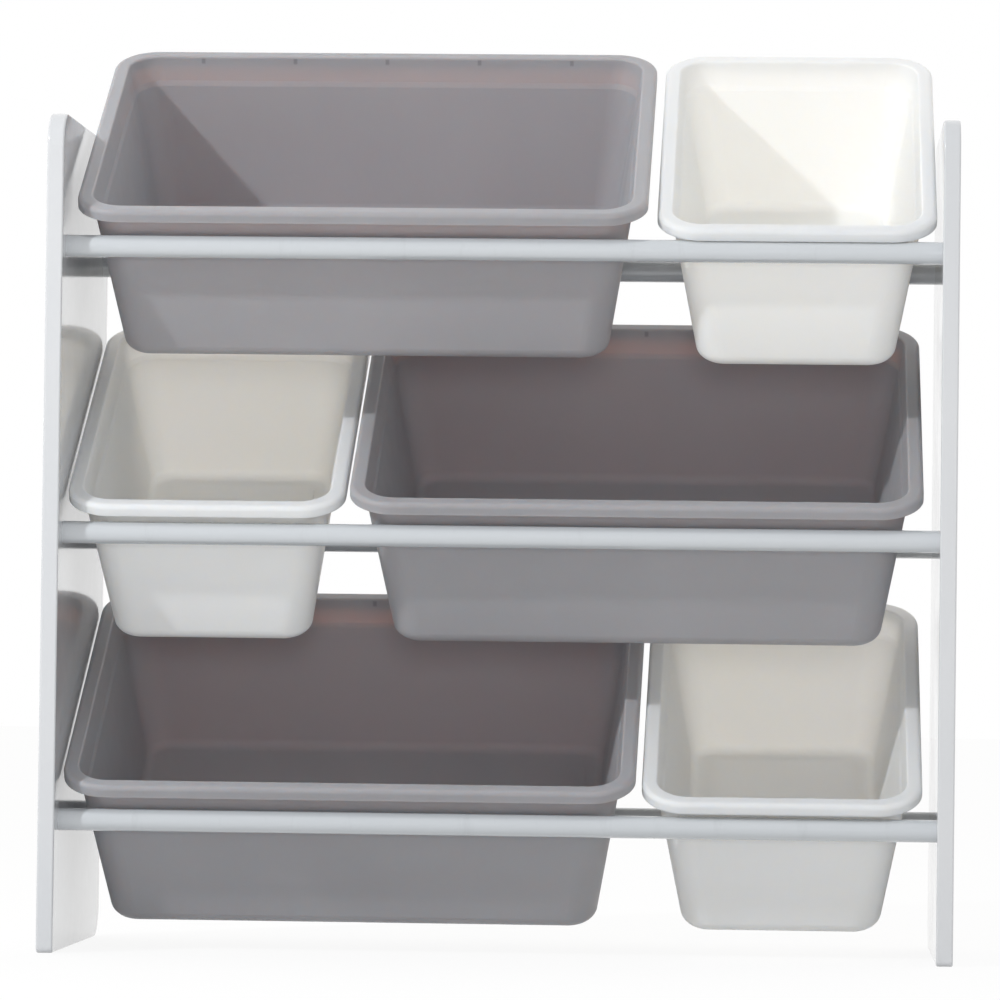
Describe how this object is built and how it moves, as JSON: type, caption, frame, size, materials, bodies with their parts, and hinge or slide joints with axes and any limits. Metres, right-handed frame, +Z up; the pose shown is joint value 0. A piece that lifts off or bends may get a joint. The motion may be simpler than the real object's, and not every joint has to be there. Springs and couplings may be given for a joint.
{
  "type": "toy storage organizer with bins",
  "caption": "Open three-tier toy rack: two side boards joined by round tubes, with wide and narrow bins that lean forward on each tier and lift out.",
  "frame": {"origin": "on the ground, midway between the side boards and midway between the boards' front edges and the rearmost bin", "axes": "+X to the right along the tubes as seen from the front, +Y to the rear, +Z up; the bins' mouths face up and forward, towards -Y"},
  "size_m": [0.65, 0.3096, 0.6716],
  "materials": {
    "painted_board": "fibreboard painted white, satin",
    "coated_tube": "steel tube, powder coated, satin",
    "bolt_steel": "zinc plated",
    "plug_plastic": "moulded, natural",
    "cap_plastic": "moulded, white",
    "grey_bin_plastic": "moulded, fine satin texture",
    "white_bin_plastic": "moulded, fine satin texture"
  },
  "bodies": {
    "rack": {"left_side_board": "painted_board", "right_side_board": "painted_board", "top_front_tube": "coated_tube", "top_rear_tube": "coated_tube", "middle_front_tube": "coated_tube", "middle_rear_tube": "coated_tube", "bottom_front_tube": "coated_tube", "bottom_rear_tube": "coated_tube", "left_bolts": "bolt_steel", "left_tube_plugs": "plug_plastic", "left_cover_caps": "cap_plastic", "right_bolts": "bolt_steel", "right_tube_plugs": "plug_plastic", "right_cover_caps": "cap_plastic"},
    "top_large_grey_bin": {"top_large_grey_bin": "grey_bin_plastic"},
    "top_small_white_bin": {"top_small_white_bin": "white_bin_plastic"},
    "middle_small_white_bin": {"middle_small_white_bin": "white_bin_plastic"},
    "middle_large_grey_bin": {"middle_large_grey_bin": "grey_bin_plastic"},
    "bottom_large_grey_bin": {"bottom_large_grey_bin": "grey_bin_plastic"},
    "bottom_small_white_bin": {"bottom_small_white_bin": "white_bin_plastic"}
  },
  "joints": [
    {"name": "top_large_grey_bin_lift", "type": "slide", "parent": "rack", "child": "top_large_grey_bin", "axis": [0, -0.4822, 0.876], "range_m": [0, 0.2]},
    {"name": "top_small_white_bin_lift", "type": "slide", "parent": "rack", "child": "top_small_white_bin", "axis": [0, -0.5122, 0.8589], "range_m": [0, 0.2]},
    {"name": "middle_small_white_bin_tip", "type": "hinge", "parent": "rack", "child": "middle_small_white_bin", "pos_m": [-0.2114, 0.0857, 0.2999], "axis": [-1, 0, 0], "range_deg": [0, 25]},
    {"name": "middle_large_grey_bin_tip", "type": "hinge", "parent": "rack", "child": "middle_large_grey_bin", "pos_m": [0.09675, 0.0857, 0.2999], "axis": [-1, 0, 0], "range_deg": [0, 25]},
    {"name": "bottom_large_grey_bin_tip", "type": "hinge", "parent": "rack", "child": "bottom_large_grey_bin", "pos_m": [-0.10635, 0.0857, 0.0945], "axis": [-1, 0, 0], "range_deg": [0, 25]},
    {"name": "bottom_small_white_bin_tip", "type": "hinge", "parent": "rack", "child": "bottom_small_white_bin", "pos_m": [0.2032, 0.0857, 0.0945], "axis": [-1, 0, 0], "range_deg": [0, 25]}
  ]
}
